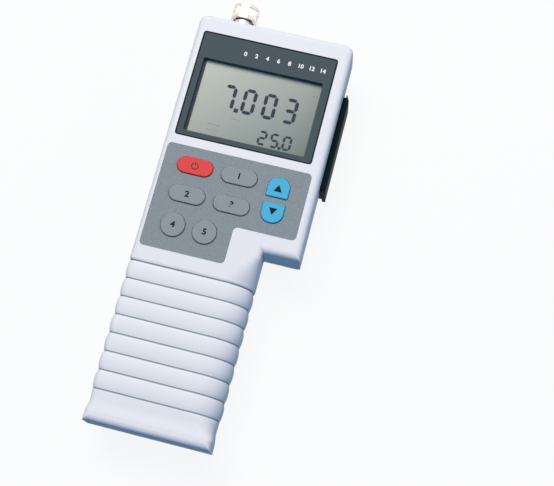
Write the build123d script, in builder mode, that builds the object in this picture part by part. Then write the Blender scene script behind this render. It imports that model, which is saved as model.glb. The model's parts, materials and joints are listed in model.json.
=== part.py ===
"""A hand-held ion meter: a wide head with a display and a keypad, on a narrower ribbed grip.

It lies on its back. X runs across the face, Y up the instrument to its electrode connector, and Z out of
its face. The origin is on the back, on the head's centre line, halfway along the case. All in millimetres.
"""

from build123d import *

import os
from math import radians, tan

# Case
body_length = 224.0
head_width = 84.4
head_length = 121.1
grip_width = 65.1
body_depth = 36.0
front_depth = 18.0
wall = 2.5
face_wall = 3.0
neck_space_below = 6.0
edge_radius = 3.3
back_edge_radius = 5.0
inner_edge_radius = 1.5
rear_taper = 12.0
head_corner_radius = 5.0
shoulder_radius = 4.5
inside_corner_radius = 3.5
end_corner_radius = 5.0
tongue_width = 0.8
tongue_height = 1.2

# Ribbed grip
rib_count = 7
rib_pitch = 9.61
groove_depth = 0.75
first_groove_below_shoulder = 19.3
neck_swell = 1.8
grip_round_width = 15.0
grip_round_depth = 12.0
foot_lip_rise = 4.5
foot_lip_length = 5.0

# Fits
fit = 0.1
slide_fit = 0.3
running_fit = 0.08
thread_fit = 0.05

# Display
display_width = 73.4
display_height = 60.1
display_left_border = 4.4
display_top_border = 10.0
display_radius = 1.6
display_thickness = 1.7
panel_sink = 0.1
window_width = 64.9
window_height = 41.9
window_from_left = 3.75
window_from_top = 14.9
window_radius = 0.8
lens_rim = 2.0
lens_thickness = 1.2
lens_to_lcd = 0.4
lcd_rim = 1.0
lcd_thickness = 1.8
polarizer_thickness = 0.2
reflector_thickness = 0.3
lcd_frame_wall = 1.3
lcd_ledge = 1.5
zebra_width = 2.0
zebra_length = 56.0

# Keypad
keypad_width = 76.8
keypad_left_border = 2.9
keypad_below_display = 5.1
keypad_right_height = 36.4
keypad_left_height = 56.6
keypad_tail_width = 44.7
keypad_radius = 2.4
keypad_thickness = 1.5
long_key_width = 19.0
long_key_height = 9.0
long_key_from_left = 16.95
long_key_from_top = 10.05
long_key_column = 23.6
long_key_row = 15.7
round_key_diameter = 12.6
round_key_from_left = 14.2
round_key_from_top = 42.95
round_key_column = 16.7
arrow_key_width = 11.5
arrow_key_height = 10.7
arrow_key_crown = 5.2
arrow_key_foot_radius = 0.8
arrow_key_gap = 3.1
arrow_key_from_left = 61.8
arrow_key_from_top = 17.9
key_rise = 0.9
key_edge_radius = 0.5
key_clearance = 0.25
key_flange = 1.0
key_flange_thickness = 0.8
key_travel = 0.8
plunger_radius = 2.0
dome_radius = 3.0
dome_height = 0.6
dome_crown = 1.6

# Circuit board
board_thickness = 1.6
board_below_face = 9.9
board_margin = 2.6
board_end_above_keypad_end = 1.3
board_screw_radius = 1.1
board_screw_head_radius = 2.1
board_screw_head_height = 1.5
board_screw_length = 6.5
board_boss_radius = 2.8
board_screw_from_left = 4.3
board_screw_from_right = 15.5
board_screw_below_display_top = 2.5
board_screw_below_round_keys = 9.05
processor_size = 18.0
processor_thickness = 2.2
lead_width = 0.5
lead_reach = 1.5
lead_pitch = 1.6
lead_count = 9
chip_length = 10.0
chip_width = 6.0
chip_thickness = 1.8
crystal_length = 11.0
crystal_width = 4.6
crystal_height = 3.5
capacitor_radius = 3.0
capacitor_height = 7.0
shield_length = 24.0
shield_width = 18.0
shield_height = 6.0
shield_sheet = 0.5
converter_lead_count = 4
converter_below_top = 26.0
processor_at = (-4.0, 55.0)
crystal_at = (12.0, 78.0)
capacitors_at = [(2.0, 18.0), (-8.0, 18.0)]

# Electrode connector and its shorting cap
connector_from_centre = 22.0
barrel_radius = 4.8
barrel_length = 13.0
barrel_bore = 4.1
barrel_bore_depth = 9.0
connector_boss_radius = 8.6
inner_flange_radius = 6.5
inner_flange_thickness = 1.5
tail_length = 7.0
washer_radius = 7.2
washer_thickness = 0.6
nut_across_flats = 14.0
nut_thickness = 2.4
stud_radius = 1.0
stud_reach = 5.5
stud_from_mouth = 4.1
insulator_radius = 2.3
insulator_length = 4.0
contact_radius = 1.25
contact_bore = 0.75
contact_bore_depth = 4.0
contact_tail = 3.0
contact_proud = 0.5
input_wire_radius = 0.5
collar_radius = 7.15
collar_wall = 1.4
collar_start = 7.4
collar_length = 8.2
collar_end_wall = 0.8
collar_rim = 1.6
collar_waist = 0.3
cap_sleeve_wall = 1.3
cap_sleeve_depth = 5.5
cap_flange_thickness = 1.2
cap_button_radius = 5.2
cap_button_thickness = 1.2
cap_button_edge = 0.5
cap_flange_radius = 5.4
cap_neck_radius = 4.0
cap_pin_reach = 7.5

# Side sockets and their cover
cover_length = 55.4
cover_width = 17.0
cover_from_top = 24.6
cover_stand_off = 3.3
cover_plate = 1.8
cover_step = 0.8
cover_bevel = 1.4
cover_bevel_length = 2.8
bay_depth = 2.6
bay_floor = 2.2
bay_frame = 2.0
bay_pad_rise = 0.3
cover_base_radius = 1.0
socket_bore_depth = 9.0
socket_pin_length = 4.7
plug_depth = 4.0
socket_pitch = 17.0
socket_body_depth = 13.0
socket_body_length = 13.0
probe_socket_radius = 5.8
probe_bore = 4.4
data_socket_radius = 4.2
data_bore = 1.8
power_socket_radius = 4.8
power_bore = 2.8
power_pin = 0.9
probe_pin = 0.5
probe_pin_circle = 2.6

# Battery, its compartment and its door
battery_width = 26.5
battery_length = 46.4
battery_depth = 17.5
battery_above_back = 2.2
battery_radius = 2.0
terminal_length = 2.1
terminal_radius = 2.85
terminal_cup_radius = 4.0
terminal_spacing = 12.7
compartment_wall = 1.5
compartment_spare = 0.5
snap_space = 5.1
snap_width = 25.0
snap_height = 14.0
snap_thickness = 1.6
door_width = 38.0
door_length = 68.0
door_radius = 3.0
door_thickness = 1.5
door_above_floor = 0.3
door_pad = 3.6
door_frame = 1.5
door_gap = 0.2
door_top_y = -28.0
door_screw_inset = 3.4
door_screw_length = 6.0
door_screw_radius = 1.2
door_screw_head_radius = 2.3
door_boss_radius = 2.8
lead_radius = 0.6
lead_spacing = 6.0
lead_slot_spare = 4.0
lead_slot_height = 6.0
lead_exit_z = 13.0
lead_bend = 5.0
lead_beyond_board_end = -2.5

# Case screws
screw_radius = 1.45
screw_head_radius = 2.75
screw_head_height = 2.2
screw_length = 22.0
screw_recess = 5.0
boss_radius = 3.2
rear_boss_radius = 4.3
boss_root = 0.5
screw_clearance = 0.3
top_screw_from_centre = 31.0
top_screw_below_top = 11.5
shoulder_screw_above = 11.3
neck_screw_below = 13.4
foot_screw_above_end = 10.8
foot_screw_from_centre = 18.75

# Heights above the back
face_z = body_depth
parting_z = body_depth - front_depth
inner_face_z = face_z - face_wall
display_floor_z = face_z - panel_sink - display_thickness
keypad_floor_z = face_z - panel_sink - keypad_thickness
board_top_z = face_z - board_below_face
board_bottom_z = board_top_z - board_thickness
lens_z = display_floor_z - lens_thickness
polarizer_z = lens_z - lens_to_lcd - polarizer_thickness
lcd_z = polarizer_z - lcd_thickness
reflector_z = lcd_z - reflector_thickness
key_top_z = face_z + key_rise
key_flange_z = inner_face_z - slide_fit - key_flange_thickness
plunger_z = board_top_z + dome_height + key_travel + fit

# Plan of the case
head_left = -head_width / 2
head_right = head_width / 2
top_y = body_length / 2
bottom_y = -body_length / 2
shoulder_y = top_y - head_length
grip_left = head_left
grip_right = head_left + grip_width
grip_centre = (grip_left + grip_right) / 2
first_groove_y = shoulder_y - first_groove_below_shoulder
last_groove_y = first_groove_y - rib_count * rib_pitch
neck_end_y = first_groove_y + neck_swell
foot_y = bottom_y + foot_lip_length
foot_rise_y = foot_y + foot_lip_rise
rear_slope = tan(radians(rear_taper))

# Plan of the panels
display_left = head_left + display_left_border
display_top = top_y - display_top_border
display_centre = (display_left + display_width / 2, display_top - display_height / 2)
window_centre = (
    display_left + window_from_left + window_width / 2,
    display_top - window_from_top - window_height / 2,
)
keypad_left = head_left + keypad_left_border
keypad_top = display_top - display_height - keypad_below_display

# Side bay and electrode connector
cover_top_y = top_y - cover_from_top
cover_middle_y = cover_top_y - cover_length / 2
bay_floor_x = head_right - bay_depth
connector_x = -connector_from_centre
connector_plane = Plane(origin=(connector_x, top_y, parting_z), x_dir=(1, 0, 0), z_dir=(0, 1, 0))
connector_axis = Axis(connector_plane.origin, (0, 1, 0))
stud_y = top_y + barrel_length - stud_from_mouth
contact_tip = barrel_length - barrel_bore_depth + insulator_length + contact_proud
contact_tail_y = top_y - wall - inner_flange_thickness - tail_length - contact_tail / 2
collar_end = collar_start + collar_length
cap_sleeve_radius = barrel_bore - running_fit
cap_flange_bottom = barrel_length + slide_fit
cap_flange_top = cap_flange_bottom + cap_flange_thickness
cap_button_bottom = collar_end + slide_fit
cap_button_top = cap_button_bottom + cap_button_thickness
cap_pin_tip = barrel_length - cap_pin_reach
converter_at = (connector_x, top_y - converter_below_top)
bay_plane = Plane(origin=(bay_floor_x, cover_middle_y, parting_z), x_dir=(0, 1, 0), z_dir=(1, 0, 0))
cover_plate_x = head_right + cover_stand_off - cover_plate
probe_place = cover_middle_y + socket_pitch
data_place = cover_middle_y
power_place = cover_middle_y - socket_pitch
socket_noses = [
    (probe_socket_radius, probe_place),
    (data_socket_radius, data_place),
    (power_socket_radius, power_place),
]
socket_bores = [(probe_bore, probe_place), (data_bore, data_place), (power_bore, power_place)]

# Each key's form and place
long_rows = [keypad_top - long_key_from_top, keypad_top - long_key_from_top - long_key_row]
long_columns = [keypad_left + long_key_from_left, keypad_left + long_key_from_left + long_key_column]
round_row = keypad_top - round_key_from_top
round_columns = [keypad_left + round_key_from_left, keypad_left + round_key_from_left + round_key_column]
arrow_column = keypad_left + arrow_key_from_left
arrow_offset = (arrow_key_gap + arrow_key_height) / 2
arrow_middle = keypad_top - arrow_key_from_top
keys = {
    "power_key": ("long", long_columns[0], long_rows[0]),
    "mode_key": ("long", long_columns[1], long_rows[0]),
    "resolution_key": ("long", long_columns[0], long_rows[1]),
    "clear_key": ("long", long_columns[1], long_rows[1]),
    "standard_key": ("round", round_columns[0], round_row),
    "slope_key": ("round", round_columns[1], round_row),
    "up_key": ("up", arrow_column, arrow_middle + arrow_offset),
    "down_key": ("down", arrow_column, arrow_middle - arrow_offset),
}

# Screw places
case_screws_at = [
    (-top_screw_from_centre, top_y - top_screw_below_top),
    (top_screw_from_centre, top_y - top_screw_below_top),
    (top_screw_from_centre, shoulder_y + shoulder_screw_above),
    (-top_screw_from_centre, shoulder_y - neck_screw_below),
    (grip_centre - foot_screw_from_centre, bottom_y + foot_screw_above_end),
    (grip_centre + foot_screw_from_centre, bottom_y + foot_screw_above_end),
]
between_panels_y = keypad_top + keypad_below_display / 2
board_screws_at = [
    (display_left + board_screw_from_left, between_panels_y),
    (display_left + display_width - board_screw_from_right, between_panels_y),
    (0, display_top - board_screw_below_display_top),
    ((round_columns[0] + round_columns[1]) / 2, round_row - board_screw_below_round_keys),
]
door_centre = (grip_centre, door_top_y - door_length / 2)
door_screws_at = [
    (grip_centre, door_top_y - door_screw_inset),
    (grip_centre, door_top_y - door_length + door_screw_inset),
]

# Battery and its compartment
door_top_z = door_above_floor + door_thickness
door_screw_top_z = door_above_floor + door_screw_length
battery_centre_z = battery_above_back + battery_depth / 2
compartment_width = battery_width + 2 * compartment_spare
compartment_length = battery_length + compartment_spare + snap_space
compartment_top_z = battery_above_back + battery_depth + compartment_spare
compartment_centre = door_centre
compartment_end_y = door_centre[1] + compartment_length / 2
battery_end_y = compartment_end_y - snap_space
snap_y = battery_end_y + terminal_length
lcd_width = window_width + 2 * lcd_rim
lcd_height = window_height + 2 * lcd_rim
board_end_y = keypad_top - keypad_left_height + board_end_above_keypad_end
lead_rise_y = board_end_y - lead_beyond_board_end
neck_space_y = shoulder_y - neck_space_below

os.makedirs("parts", exist_ok=True)


def case_plan(z, inset, end_y):
    """The outline of head and grip seen from the front, shrunk by inset and ending at end_y"""
    left = head_left + inset
    right = head_right - inset
    grip_side = grip_right - inset
    shoulder = shoulder_y + inset
    with BuildSketch(Plane.XY.offset(z)) as plan:
        with BuildLine():
            Polyline(
                (left, top_y - inset),
                (right, top_y - inset),
                (right, shoulder),
                (grip_side, shoulder),
                (grip_side, end_y),
                (left, end_y),
                close=True,
            )
        make_face()
        head_corners = plan.vertices().group_by(Axis.Y)[-1]
        shoulder_corners = plan.vertices().filter_by(lambda v: abs(v.Y - shoulder) < 0.01).sort_by(Axis.X)
        end_corners = plan.vertices().group_by(Axis.Y)[0]
        fillet(head_corners, max(head_corner_radius - inset, 1))
        fillet(shoulder_corners[-1], max(shoulder_radius - inset, 1))
        fillet(shoulder_corners[0], inside_corner_radius + inset)
        fillet(end_corners, max(end_corner_radius - inset, 1))
    return plan.sketch


def front_grip_section(y, inset, fullness=1.0):
    """Cross-section of the grip's front half, square at its left and rounded, by its fullness, at its right"""
    left = grip_left + inset
    right = grip_right - inset
    top = face_z - inset
    round_width = edge_radius + fullness * (grip_round_width - edge_radius)
    round_depth = edge_radius + fullness * (grip_round_depth - edge_radius)
    centre = (right - round_width, top - round_depth)
    with BuildSketch(Plane.XZ.offset(-y)) as section:
        with BuildLine():
            rise = Line((left, parting_z), (left, top))
            Line(rise @ 1, (right - round_width, top))
            rounding = EllipticalCenterArc(centre, round_width, round_depth, start_angle=0, arc_size=90)
            fall = Line(rounding @ 0, (right, parting_z))
            Line(fall @ 1, rise @ 0)
        make_face()
        fillet(section.vertices().group_by(Axis.Y)[-1].sort_by(Axis.X)[0], edge_radius)
    return section.sketch


def rear_grip_section(y, inset):
    """Cross-section of the grip's rear half, leaning in to a flat back"""
    left = grip_left + inset
    right = grip_right - inset
    lean = parting_z * rear_slope
    with BuildSketch(Plane.XZ.offset(-y)) as section:
        with BuildLine():
            Polyline(
                (left, parting_z),
                (right, parting_z),
                (right - lean, 0),
                (left + lean, 0),
                close=True,
            )
        make_face()
        fillet(section.vertices().group_by(Axis.Y)[0], back_edge_radius)
    return section.sketch


def beyond_rounding(y, round_width, round_depth):
    """The region outside the grip's rounded right edge, at one place along it"""
    spare = 1.0
    centre = (grip_right - round_width, face_z - round_depth)
    with BuildSketch(Plane.XZ.offset(-y)) as region:
        with BuildLine():
            rounding = EllipticalCenterArc(centre, round_width, round_depth, start_angle=0, arc_size=90)
            Polyline(
                rounding @ 1,
                (grip_right - round_width, face_z + spare),
                (grip_right + spare, face_z + spare),
                (grip_right + spare, face_z - round_depth),
                rounding @ 0,
            )
        make_face()
    return region.sketch


def keypad_plan(z, grow):
    """The keypad's outline: full width beside the display's foot, and a narrower tail down the neck"""
    left = keypad_left - grow
    right = keypad_left + keypad_width + grow
    notch_x = keypad_left + keypad_tail_width + grow
    notch_y = keypad_top - keypad_right_height - grow
    end_y = keypad_top - keypad_left_height - grow
    with BuildSketch(Plane.XY.offset(z)) as plan:
        with BuildLine():
            Polyline(
                (left, keypad_top + grow),
                (right, keypad_top + grow),
                (right, notch_y),
                (notch_x, notch_y),
                (notch_x, end_y),
                (left, end_y),
                close=True,
            )
        make_face()
        fillet(plan.vertices(), keypad_radius)
    return plan.sketch


def key_plan(key, z, grow):
    """The outline of one key, grown all round"""
    form, x, y = keys[key]
    with BuildSketch(Plane.XY.offset(z)) as plan:
        with Locations((x, y)):
            if form == "long":
                SlotOverall(long_key_width + 2 * grow, long_key_height + 2 * grow)
            elif form == "round":
                Circle(round_key_diameter / 2 + grow)
            else:
                Rectangle(arrow_key_width + 2 * grow, arrow_key_height + 2 * grow)
        if form in ("up", "down"):
            crown = -1 if form == "up" else 0
            foot = 0 if form == "up" else -1
            fillet(plan.vertices().group_by(Axis.Y)[crown], arrow_key_crown + grow)
            fillet(plan.vertices().group_by(Axis.Y)[foot], arrow_key_foot_radius + grow)
    return plan.sketch


def rounded_plate(z, centre, width, height, radius):
    """A rectangle with rounded corners"""
    with BuildSketch(Plane.XY.offset(z)) as plate:
        with Locations(centre):
            RectangleRounded(width, height, radius)
    return plate.sketch


def discs(z, places, radius):
    """Round spots of one size at several places"""
    with BuildSketch(Plane.XY.offset(z)) as spots:
        with Locations(*places):
            Circle(radius)
    return spots.sketch


def turned(*points):
    """Half-profile of a turned piece on the connector's axis, as radius and distance beyond the case's top"""
    with BuildSketch(Plane(origin=connector_plane.origin)) as profile:
        with BuildLine():
            Polyline(*points, close=True)
        make_face()
    return profile.sketch


def socket_plane(x, place):
    """A plane across a side socket's axis, at height x from the case's centre line"""
    return Plane(origin=(x, place, parting_z), x_dir=(0, 1, 0), z_dir=(1, 0, 0))


def socket_disc(x, place, radius):
    """A round section of a side socket"""
    with BuildSketch(socket_plane(x, place)) as disc:
        Circle(radius)
    return disc.sketch


def socket_body(place):
    """The square section of a side socket's body, which stands under the board"""
    with BuildSketch(socket_plane(bay_floor_x - bay_floor, place)) as body:
        Rectangle(socket_body_length, 2 * (board_bottom_z - parting_z))
    return body.sketch


def bay_pocket(x):
    """The recess that the side cover sits in"""
    spare = 2 * (slide_fit - cover_step)
    with BuildSketch(bay_plane.offset(x - bay_floor_x)) as pocket:
        RectangleRounded(cover_length + spare, cover_width + spare, cover_base_radius + slide_fit)
    return pocket.sketch


def bay_pad(above):
    """Half of the thickening round the side bay, on one side of the parting line"""
    spare = 2 * (slide_fit - cover_step + bay_frame)
    half = Align.MIN if above else Align.MAX
    with BuildSketch(bay_plane) as pad:
        Rectangle(cover_length + spare, (cover_width + spare) / 2, align=(Align.CENTER, half))
    return pad.sketch


# Each rib swells from one groove to the next: share of the pitch, and share of the groove's depth
rib_swell = [(0, 1), (0.18, 0.33), (0.5, 0), (0.82, 0.33), (1, 1)]

# The foot of the case in front of the parting line, with its rounded end
with BuildPart() as front_foot:
    extrude(case_plan(parting_z, 0, bottom_y), amount=front_depth)
    fillet(front_foot.faces().sort_by(Axis.Z)[-1].edges(), edge_radius)
    split(bisect_by=Plane.XZ.offset(-foot_y), keep=Keep.TOP)

# Outer form in front of the parting line: head and neck, ribs, a plain stretch, and the foot's raised lip
with BuildPart() as front_form:
    extrude(case_plan(parting_z, 0, neck_end_y - 4 * end_corner_radius), amount=front_depth)
    fillet(front_form.faces().sort_by(Axis.Z)[-1].edges(), edge_radius)
    split(bisect_by=Plane.XZ.offset(-neck_end_y), keep=Keep.BOTTOM)
    loft(
        sections=[
            beyond_rounding(neck_end_y, grip_round_width, grip_round_depth),
            beyond_rounding(shoulder_y - inside_corner_radius, edge_radius - fit, edge_radius - fit),
        ],
        mode=Mode.SUBTRACT,
    )
    loft(
        sections=[
            front_grip_section(first_groove_y + (1 - share) * 2 * neck_swell, depth * groove_depth)
            for share, depth in rib_swell[2:]
        ]
    )
    for rib in range(rib_count):
        loft(
            sections=[
                front_grip_section(first_groove_y - (rib + share) * rib_pitch, depth * groove_depth)
                for share, depth in rib_swell
            ]
        )
    loft(
        sections=[
            front_grip_section(last_groove_y, groove_depth),
            front_grip_section((last_groove_y + foot_rise_y) / 2, groove_depth, 0.75),
            front_grip_section(foot_rise_y, groove_depth, 0.5),
            front_grip_section((foot_rise_y + foot_y) / 2, groove_depth / 2, 0.25),
            front_grip_section(foot_y, 0, 0),
        ]
    )
    add(front_foot.part)

# The foot of the case behind the parting line
with BuildPart() as rear_foot:
    extrude(case_plan(parting_z, 0, bottom_y), amount=parting_z, dir=(0, 0, -1), taper=rear_taper)
    fillet(rear_foot.faces().sort_by(Axis.Z)[0].edges(), back_edge_radius)
    split(bisect_by=Plane.XZ.offset(-foot_y), keep=Keep.TOP)

# Outer form behind the parting line, where the ribs run down the sides and fade out on the flat back
with BuildPart() as rear_form:
    extrude(
        case_plan(parting_z, 0, neck_end_y - 4 * end_corner_radius),
        amount=parting_z,
        dir=(0, 0, -1),
        taper=rear_taper,
    )
    fillet(rear_form.faces().sort_by(Axis.Z)[0].edges(), back_edge_radius)
    split(bisect_by=Plane.XZ.offset(-neck_end_y), keep=Keep.BOTTOM)
    loft(
        sections=[
            rear_grip_section(first_groove_y + (1 - share) * 2 * neck_swell, depth * groove_depth)
            for share, depth in rib_swell[2:]
        ]
    )
    for rib in range(rib_count):
        loft(
            sections=[
                rear_grip_section(first_groove_y - (rib + share) * rib_pitch, depth * groove_depth)
                for share, depth in rib_swell
            ]
        )
    loft(
        sections=[
            rear_grip_section(last_groove_y, groove_depth),
            rear_grip_section((last_groove_y + foot_rise_y) / 2, groove_depth),
            rear_grip_section(foot_rise_y, groove_depth),
            rear_grip_section((foot_rise_y + foot_y) / 2, groove_depth / 2),
            rear_grip_section(foot_y, 0),
        ]
    )
    add(rear_foot.part)

# The space inside the case in front of the parting line
with BuildPart() as front_space:
    extrude(case_plan(parting_z, wall, neck_space_y - end_corner_radius), amount=inner_face_z - parting_z)
    split(bisect_by=Plane.XZ.offset(-neck_space_y), keep=Keep.BOTTOM)
    extrude(front_grip_section(neck_space_y, face_wall), amount=neck_space_y - bottom_y - face_wall)

# The space inside the case behind the parting line
with BuildPart() as rear_space:
    extrude(
        case_plan(parting_z, wall, bottom_y + wall),
        amount=parting_z - wall,
        dir=(0, 0, -1),
        taper=rear_taper,
    )
    fillet(rear_space.faces().sort_by(Axis.Z)[0].edges(), inner_edge_radius)

# Front half of the case, which carries the display, the keypad and the board
with BuildPart() as front_shell:
    add(front_form.part)
    add(front_space.part, mode=Mode.SUBTRACT)
    extrude(
        case_plan(parting_z, wall - tongue_width - fit, bottom_y + wall - tongue_width - fit),
        amount=tongue_height + fit,
        mode=Mode.SUBTRACT,
    )
    extrude(discs(parting_z, case_screws_at, boss_radius), amount=inner_face_z + boss_root - parting_z)
    extrude(
        discs(parting_z, case_screws_at, screw_radius + thread_fit),
        amount=screw_recess + screw_length + boss_root - parting_z,
        mode=Mode.SUBTRACT,
    )
    extrude(discs(board_top_z, board_screws_at, board_boss_radius), amount=inner_face_z + boss_root - board_top_z)
    extrude(
        discs(board_top_z, board_screws_at, board_screw_radius + thread_fit),
        amount=board_screw_length - board_thickness + boss_root,
        mode=Mode.SUBTRACT,
    )
    extrude(
        rounded_plate(display_floor_z, display_centre, display_width + 2 * fit, display_height + 2 * fit,
                      display_radius + fit),
        amount=face_z,
        mode=Mode.SUBTRACT,
    )
    extrude(
        rounded_plate(board_top_z, window_centre, window_width + 2 * (lens_rim + fit),
                      window_height + 2 * (lens_rim + fit), window_radius),
        amount=face_z,
        mode=Mode.SUBTRACT,
    )
    extrude(keypad_plan(keypad_floor_z, fit), amount=face_z, mode=Mode.SUBTRACT)
    for key_name in keys:
        extrude(key_plan(key_name, inner_face_z - 1, key_clearance), amount=face_z, mode=Mode.SUBTRACT)
    extrude(bay_pad(above=True), amount=-bay_floor)
    extrude(bay_pad(above=True), amount=bay_pad_rise)
    extrude(bay_pocket(bay_floor_x), amount=head_width, mode=Mode.SUBTRACT)
    for radius, place in socket_noses:
        extrude(socket_disc(bay_floor_x, place, radius + fit), amount=-2 * bay_floor, mode=Mode.SUBTRACT)
    with BuildSketch(connector_plane):
        Circle(barrel_radius + fit)
    extrude(amount=-2 * wall, both=True, mode=Mode.SUBTRACT)
front_shell.part.label = "front_shell"
export_step(front_shell.part, "parts/front_shell.step")

# Rear half of the case, which carries the battery and takes the case screws
with BuildPart() as rear_shell:
    add(rear_form.part)
    add(rear_space.part, mode=Mode.SUBTRACT)
    with BuildSketch(Plane.XY.offset(parting_z)) as tongue:
        add(case_plan(parting_z, wall - tongue_width, bottom_y + wall - tongue_width))
        add(case_plan(parting_z, wall, bottom_y + wall), mode=Mode.SUBTRACT)
    extrude(amount=tongue_height)
    extrude(bay_pad(above=True), amount=head_width / 2, mode=Mode.SUBTRACT)
    extrude(bay_pad(above=False), amount=-bay_floor)
    extrude(bay_pad(above=False), amount=bay_pad_rise)
    extrude(bay_pocket(bay_floor_x), amount=head_width, mode=Mode.SUBTRACT)
    for radius, place in socket_noses:
        extrude(socket_disc(bay_floor_x, place, radius + fit), amount=-2 * bay_floor, mode=Mode.SUBTRACT)
    with BuildSketch(connector_plane):
        Circle(connector_boss_radius)
        Rectangle(2 * connector_boss_radius, connector_boss_radius, align=(Align.CENTER, Align.MAX),
                  mode=Mode.SUBTRACT)
    extrude(amount=-2 * wall)
    with BuildSketch(connector_plane):
        Circle(barrel_radius + fit)
    extrude(amount=-3 * wall, mode=Mode.SUBTRACT)
    with BuildSketch(connector_plane.offset(-wall)):
        Circle(inner_flange_radius + slide_fit)
    extrude(amount=-2 * wall, mode=Mode.SUBTRACT)
    extrude(
        rounded_plate(0, door_centre, door_width + 2 * door_frame, door_length + 2 * door_frame,
                      door_radius + door_frame),
        amount=door_pad,
    )
    extrude(
        rounded_plate(door_pad, compartment_centre, compartment_width + 2 * compartment_wall,
                      compartment_length + 2 * compartment_wall, compartment_wall),
        amount=compartment_top_z + compartment_wall - door_pad,
    )
    extrude(discs(door_pad, door_screws_at, door_boss_radius), amount=door_screw_length)
    extrude(discs(0, case_screws_at, rear_boss_radius), amount=parting_z)
    with Locations(*[Plane(origin=(x, y, 0), x_dir=(1, 0, 0), z_dir=(0, 0, -1)) for x, y in case_screws_at]):
        CounterBoreHole(screw_radius + screw_clearance, screw_head_radius + screw_clearance, screw_recess)
    extrude(
        rounded_plate(0, door_centre, door_width + 2 * key_clearance, door_length + 2 * key_clearance,
                      door_radius + key_clearance),
        amount=door_top_z + door_gap,
        mode=Mode.SUBTRACT,
    )
    extrude(discs(0, door_screws_at, door_screw_radius + thread_fit), amount=door_screw_top_z + boss_root,
            mode=Mode.SUBTRACT)
    extrude(
        rounded_plate(0, compartment_centre, compartment_width, compartment_length, compartment_wall / 2),
        amount=compartment_top_z,
        mode=Mode.SUBTRACT,
    )
    with BuildSketch(Plane.XZ.offset(-compartment_end_y)):
        with Locations((grip_centre, lead_exit_z)):
            Rectangle(lead_spacing + lead_slot_spare, lead_slot_height)
    extrude(amount=2 * compartment_wall, both=True, mode=Mode.SUBTRACT)
rear_shell.part.label = "rear_shell"
export_step(rear_shell.part, "parts/rear_shell.step")

# Slate-coloured panel round the display
with BuildPart() as display_bezel:
    extrude(rounded_plate(display_floor_z, display_centre, display_width, display_height, display_radius),
            amount=display_thickness)
    extrude(rounded_plate(display_floor_z, window_centre, window_width, window_height, window_radius),
            amount=display_thickness, mode=Mode.SUBTRACT)
display_bezel.part.label = "display_bezel"
export_step(display_bezel.part, "parts/display_bezel.step")

# Clear window behind the bezel
with BuildPart() as display_window:
    extrude(
        rounded_plate(lens_z, window_centre, window_width + 2 * lens_rim, window_height + 2 * lens_rim,
                      window_radius),
        amount=lens_thickness,
    )
display_window.part.label = "display_window"
export_step(display_window.part, "parts/display_window.step")

# Liquid crystal cell with its front polarizer and rear reflector
with BuildPart() as lcd_polarizer:
    extrude(rounded_plate(polarizer_z, window_centre, lcd_width - 1, lcd_height - 1, window_radius),
            amount=polarizer_thickness)
lcd_polarizer.part.label = "lcd_polarizer"
export_step(lcd_polarizer.part, "parts/lcd_polarizer.step")

with BuildPart() as lcd_glass:
    with BuildSketch(Plane.XY.offset(lcd_z)):
        with Locations(window_centre):
            Rectangle(lcd_width, lcd_height)
    extrude(amount=lcd_thickness)
lcd_glass.part.label = "lcd_glass"
export_step(lcd_glass.part, "parts/lcd_glass.step")

with BuildPart() as lcd_reflector:
    with BuildSketch(Plane.XY.offset(reflector_z)):
        with Locations(window_centre):
            Rectangle(lcd_width, lcd_height - 2 * (zebra_width + slide_fit))
    extrude(amount=reflector_thickness)
lcd_reflector.part.label = "lcd_reflector"
export_step(lcd_reflector.part, "parts/lcd_reflector.step")

# Plastic frame that holds the cell over the board, with a ledge at each side
with BuildPart() as lcd_frame:
    with BuildSketch(Plane.XY.offset(board_top_z)):
        with Locations(window_centre):
            Rectangle(lcd_width + 2 * (fit + lcd_frame_wall), lcd_height + 2 * (fit + lcd_frame_wall))
    extrude(amount=lens_z - fit - board_top_z)
    with BuildSketch(Plane.XY.offset(reflector_z)):
        with Locations(window_centre):
            Rectangle(lcd_width + 2 * fit, lcd_height + 2 * fit)
    extrude(amount=lens_z - reflector_z, mode=Mode.SUBTRACT)
    with BuildSketch(Plane.XY.offset(board_top_z)):
        with Locations(window_centre):
            Rectangle(lcd_width - 2 * lcd_ledge, lcd_height + 2 * fit)
    extrude(amount=reflector_z - board_top_z, mode=Mode.SUBTRACT)
lcd_frame.part.label = "lcd_frame"
export_step(lcd_frame.part, "parts/lcd_frame.step")

# Rubber strips that connect the cell's two long edges to the board
with BuildPart() as zebra_strips:
    with BuildSketch(Plane.XY.offset(board_top_z)):
        with Locations(window_centre):
            with GridLocations(0, lcd_height - zebra_width, 1, 2):
                Rectangle(zebra_length, zebra_width)
    extrude(amount=lcd_z - board_top_z)
zebra_strips.part.label = "zebra_strips"
export_step(zebra_strips.part, "parts/zebra_strips.step")

# Circuit board, cut round the case's screw bosses
with BuildPart() as main_board:
    extrude(case_plan(board_bottom_z, wall + board_margin, board_end_y), amount=board_thickness)
    extrude(discs(board_bottom_z, case_screws_at[:3], boss_radius + slide_fit), amount=board_thickness,
            mode=Mode.SUBTRACT)
    extrude(discs(board_bottom_z, board_screws_at, board_screw_radius + fit), amount=board_thickness,
            mode=Mode.SUBTRACT)
main_board.part.label = "main_board"
export_step(main_board.part, "parts/main_board.step")

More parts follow.
